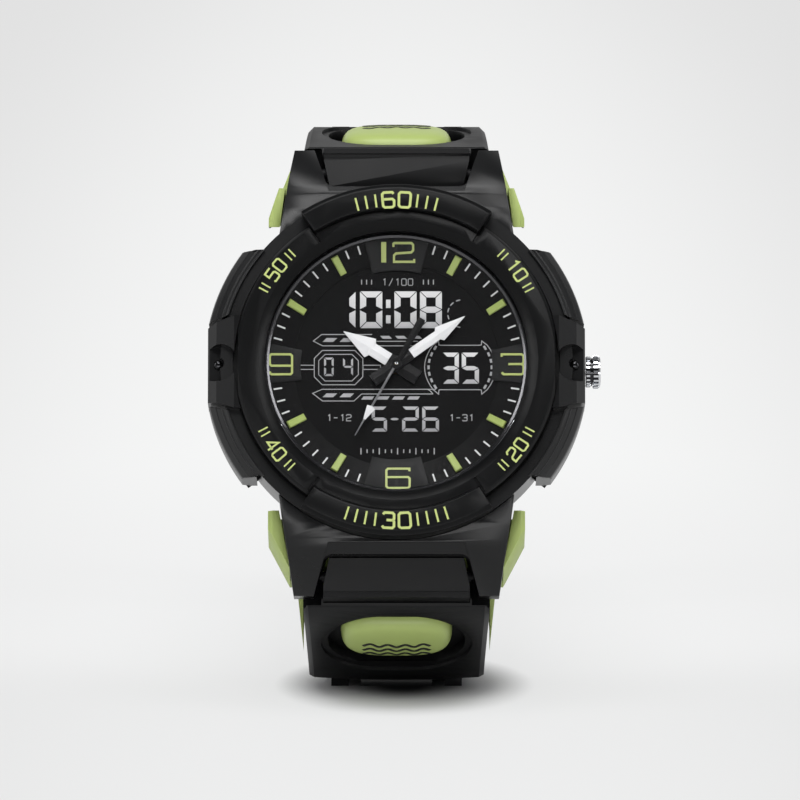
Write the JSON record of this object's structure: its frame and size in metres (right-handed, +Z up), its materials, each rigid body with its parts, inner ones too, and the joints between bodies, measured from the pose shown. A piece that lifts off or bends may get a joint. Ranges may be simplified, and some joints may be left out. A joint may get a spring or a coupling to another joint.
{
  "type": "ana-digi wristwatch",
  "caption": "Resin wristwatch standing on its open strap, with analogue hands over a liquid crystal display, arc push buttons, a crown and a pin buckle.",
  "frame": {"origin": "centre of the bounding box in plan, on the surface that the strap stands on", "axes": "+Z up, -Y the way the dial looks (leaning back), +X towards 3 o'clock; +Y is from the dial to the back of the strap"},
  "size_m": [0.0532, 0.1098, 0.0747],
  "materials": {
    "case_resin": "satin moulded black resin",
    "bezel_resin": "brushed dark grey resin with printed marks",
    "button_resin": "satin dark grey resin",
    "strap_resin": "soft satin black resin",
    "green_resin": "soft matte lime green resin",
    "seal_rubber": "black rubber",
    "steel": "brushed stainless steel",
    "polished_steel": "polished metal",
    "dark_pin": "black plated pin",
    "crystal_glass": "clear flat crystal",
    "display_glass": "dark negative liquid crystal panel with silver digits",
    "dial_black": "matt black dial ring",
    "dial_grey": "grey plates with green numerals",
    "marker_green": "lime green raised blocks",
    "hand_paint": "white paint over black bases",
    "brass": "plain turned brass",
    "module_plastic": "moulded black plastic",
    "board": "green circuit board",
    "zebra": "pale striped elastomer",
    "copper": "enamelled copper wire"
  },
  "bodies": {
    "case": {"case_middle": "case_resin", "case_back": "steel", "case_back_screws": "steel", "case_back_gasket": "seal_rubber", "crystal": "crystal_glass", "crystal_gasket": "seal_rubber", "bezel_ring": "bezel_resin", "bezel_plate_12": "bezel_resin", "bezel_plate_6": "bezel_resin", "guard_left": "case_resin", "guard_right": "case_resin", "guard_pins": "dark_pin", "horn_cover_12": "case_resin", "horn_cover_6": "case_resin", "spring_bars": "steel", "module_housing": "module_plastic", "circuit_board": "board", "zebra_strips": "zebra", "lcd_panel": "display_glass", "coin_cell": "steel", "battery_clip": "steel", "motor_core": "steel", "motor_coil": "copper", "chapter_ring": "dial_black", "dial_rim": "polished_steel", "hour_markers": "marker_green", "numeral_plates": "dial_grey", "crown_seal": "seal_rubber", "button_seals": "seal_rubber", "button_springs": "steel"},
    "strap_12": {"strap_12_body": "strap_resin", "strap_12_cover": "strap_resin", "strap_12_inlay": "green_resin", "strap_12_liner": "green_resin", "buckle_bar": "steel"},
    "strap_6": {"strap_6_body": "strap_resin", "strap_6_cover": "strap_resin", "strap_6_inlay": "green_resin", "strap_6_liner": "green_resin"},
    "keeper": {"strap_keeper": "case_resin"},
    "buckle": {"buckle_frame": "steel"},
    "tongue": {"buckle_tongue": "steel"},
    "setting_slide": {"setting_yoke": "steel"},
    "winding_crown": {"crown": "polished_steel", "crown_stem": "steel"},
    "second": {"second_hand": "hand_paint", "second_arbor": "brass"},
    "minute": {"minute_hand": "hand_paint", "minute_tube": "brass"},
    "hour": {"hour_hand": "hand_paint", "hour_tube": "brass"},
    "rotor": {"motor_rotor": "steel"},
    "push_upper_right": {"button_upper_right": "button_resin", "button_stem_upper_right": "steel"},
    "push_upper_left": {"button_upper_left": "button_resin", "button_stem_upper_left": "steel"},
    "push_lower_right": {"button_lower_right": "button_resin", "button_stem_lower_right": "steel"},
    "push_lower_left": {"button_lower_left": "button_resin", "button_stem_lower_left": "steel"}
  },
  "joints": [
    {"name": "strap_12_swing", "type": "hinge", "parent": "case", "child": "strap_12", "pos_m": [-0.0011, -0.02662, 0.07097], "axis": [1, 0, 0], "range_deg": [0, 15]},
    {"name": "strap_6_swing", "type": "hinge", "parent": "case", "child": "strap_6", "pos_m": [-0.0011, -0.0438, 0.01809], "axis": [-1, 0, 0], "range_deg": [0, 15]},
    {"name": "keeper_slide", "type": "slide", "parent": "strap_12", "child": "keeper", "axis": [0, 0, -1], "range_m": [0, 0.003]},
    {"name": "buckle_swing", "type": "hinge", "parent": "strap_12", "child": "buckle", "pos_m": [-0.0011, 0.03084, 0.02992], "axis": [1, 0, 0], "range_deg": [-80, 60]},
    {"name": "tongue_lift", "type": "hinge", "parent": "buckle", "child": "tongue", "pos_m": [-0.0011, 0.03084, 0.02992], "axis": [1, 0, 0], "range_deg": [0, 75]},
    {"name": "crown_pull", "type": "slide", "parent": "case", "child": "setting_slide", "axis": [1, 0, 0], "range_m": [0, 0.001]},
    {"name": "crown_turn", "type": "hinge", "parent": "setting_slide", "child": "winding_crown", "pos_m": [0.02455, -0.0373, 0.04521], "axis": [1, 0, 0], "continuous": true},
    {"name": "second_turn", "type": "hinge", "parent": "case", "child": "second", "pos_m": [-0.0011, -0.04383, 0.04733], "axis": [0, 0.9511, -0.309], "continuous": true},
    {"name": "minute_turn", "type": "hinge", "parent": "case", "child": "minute", "pos_m": [-0.0011, -0.04343, 0.0472], "axis": [0, 0.9511, -0.309], "continuous": true},
    {"name": "hour_turn", "type": "hinge", "parent": "case", "child": "hour", "pos_m": [-0.0011, -0.04303, 0.04707], "axis": [0, 0.9511, -0.309], "continuous": true},
    {"name": "rotor_turn", "type": "hinge", "parent": "case", "child": "rotor", "pos_m": [-0.0021, -0.03565, 0.05256], "axis": [0, 0.9511, -0.309], "continuous": true},
    {"name": "press_upper_right", "type": "slide", "parent": "case", "child": "push_upper_right", "axis": [-0.891, -0.1403, -0.4318], "range_m": [0, 0.0005], "stiffness_N_per_m": 2000, "springref_m": -0.0005, "deforming": ["button_springs"]},
    {"name": "press_upper_left", "type": "slide", "parent": "case", "child": "push_upper_left", "axis": [0.891, -0.1403, -0.4318], "range_m": [0, 0.0005], "stiffness_N_per_m": 2000, "springref_m": -0.0005, "deforming": ["button_springs"]},
    {"name": "press_lower_right", "type": "slide", "parent": "case", "child": "push_lower_right", "axis": [-0.891, 0.1403, 0.4318], "range_m": [0, 0.0005], "stiffness_N_per_m": 2000, "springref_m": -0.0005, "deforming": ["button_springs"]},
    {"name": "press_lower_left", "type": "slide", "parent": "case", "child": "push_lower_left", "axis": [0.891, 0.1403, 0.4318], "range_m": [0, 0.0005], "stiffness_N_per_m": 2000, "springref_m": -0.0005, "deforming": ["button_springs"]}
  ],
  "couplings": [
    {"joint": "minute_turn", "follows": "second_turn", "ratio": 0.016667},
    {"joint": "hour_turn", "follows": "second_turn", "ratio": 0.0013889},
    {"joint": "rotor_turn", "follows": "second_turn", "ratio": 30}
  ]
}
